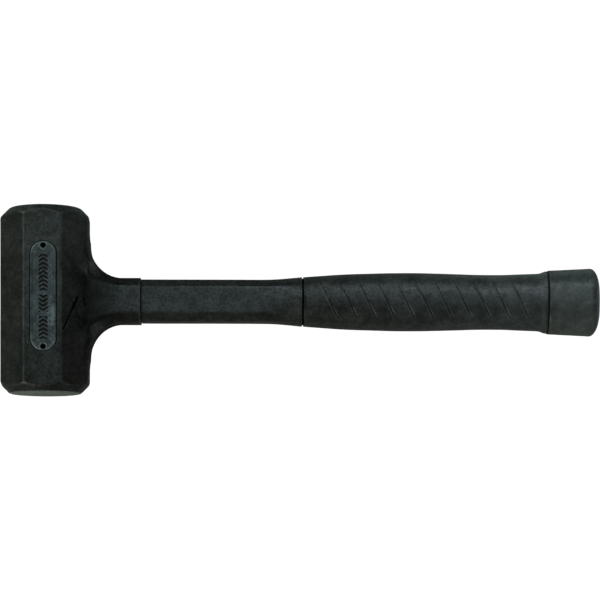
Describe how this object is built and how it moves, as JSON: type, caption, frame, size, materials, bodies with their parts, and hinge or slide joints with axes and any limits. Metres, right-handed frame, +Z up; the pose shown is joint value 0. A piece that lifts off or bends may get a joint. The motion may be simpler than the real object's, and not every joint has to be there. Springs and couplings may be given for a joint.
{
  "type": "dead blow mallet",
  "caption": "Urethane-covered dead blow mallet: faceted head with a canister of loose steel shot, octagonal shaft, oval grooved grip and flared butt.",
  "frame": {"origin": "centre of the head's back flat, the face that lies on a bench", "axes": "+X along the handle from the head to the butt, +Y along the strike axis through both faces, +Z up out of the label side"},
  "size_m": [0.3036, 0.094, 0.0413],
  "materials": {
    "head_urethane": "moulded black urethane, fine satin skin with handling scuffs",
    "grip_urethane": "moulded black urethane, satin, slightly greyer from handling",
    "plate": "semi-gloss blue-grey plate with a bevelled rim",
    "black_steel": "blackened steel",
    "canister_steel": "drawn steel tube",
    "core_steel": "plain steel bar",
    "zinc_steel": "bright zinc plate",
    "shot_steel": "bright steel shot"
  },
  "bodies": {
    "mallet": {"head_jacket": "head_urethane", "label_plate": "plate", "label_pin_upper": "black_steel", "label_pin_lower": "black_steel", "canister_tube": "canister_steel", "canister_cap_upper": "canister_steel", "canister_cap_lower": "canister_steel", "core_socket": "core_steel", "socket_pin": "zinc_steel", "core_rod": "core_steel", "locating_disc_neck": "black_steel", "locating_disc_grip": "black_steel", "end_washer": "zinc_steel", "end_nut": "zinc_steel", "shaft_cover": "head_urethane", "grip_sleeve": "grip_urethane", "butt_cap": "grip_urethane"},
    "shot_lane_1": {"shot_1_1": "shot_steel", "shot_1_2": "shot_steel", "shot_1_3": "shot_steel", "shot_1_4": "shot_steel", "shot_1_5": "shot_steel"},
    "shot_lane_2": {"shot_2_1": "shot_steel", "shot_2_2": "shot_steel", "shot_2_3": "shot_steel", "shot_2_4": "shot_steel", "shot_2_5": "shot_steel"},
    "shot_lane_3": {"shot_3_1": "shot_steel", "shot_3_2": "shot_steel", "shot_3_3": "shot_steel", "shot_3_4": "shot_steel", "shot_3_5": "shot_steel"},
    "shot_lane_4": {"shot_4_1": "shot_steel", "shot_4_2": "shot_steel", "shot_4_3": "shot_steel", "shot_4_4": "shot_steel", "shot_4_5": "shot_steel"},
    "shot_lane_5": {"shot_5_1": "shot_steel", "shot_5_2": "shot_steel", "shot_5_3": "shot_steel", "shot_5_4": "shot_steel", "shot_5_5": "shot_steel"},
    "shot_lane_6": {"shot_6_1": "shot_steel", "shot_6_2": "shot_steel", "shot_6_3": "shot_steel", "shot_6_4": "shot_steel", "shot_6_5": "shot_steel"},
    "shot_lane_7": {"shot_7_1": "shot_steel", "shot_7_2": "shot_steel", "shot_7_3": "shot_steel", "shot_7_4": "shot_steel", "shot_7_5": "shot_steel"}
  },
  "joints": [
    {"name": "shot_lane_1_slide", "type": "slide", "parent": "mallet", "child": "shot_lane_1", "axis": [0, 1, 0], "range_m": [0, 0.0195]},
    {"name": "shot_lane_2_slide", "type": "slide", "parent": "mallet", "child": "shot_lane_2", "axis": [0, 1, 0], "range_m": [0, 0.0195]},
    {"name": "shot_lane_3_slide", "type": "slide", "parent": "mallet", "child": "shot_lane_3", "axis": [0, 1, 0], "range_m": [0, 0.0195]},
    {"name": "shot_lane_4_slide", "type": "slide", "parent": "mallet", "child": "shot_lane_4", "axis": [0, 1, 0], "range_m": [0, 0.0195]},
    {"name": "shot_lane_5_slide", "type": "slide", "parent": "mallet", "child": "shot_lane_5", "axis": [0, 1, 0], "range_m": [0, 0.0195]},
    {"name": "shot_lane_6_slide", "type": "slide", "parent": "mallet", "child": "shot_lane_6", "axis": [0, 1, 0], "range_m": [0, 0.0195]},
    {"name": "shot_lane_7_slide", "type": "slide", "parent": "mallet", "child": "shot_lane_7", "axis": [0, 1, 0], "range_m": [0, 0.0195]}
  ]
}
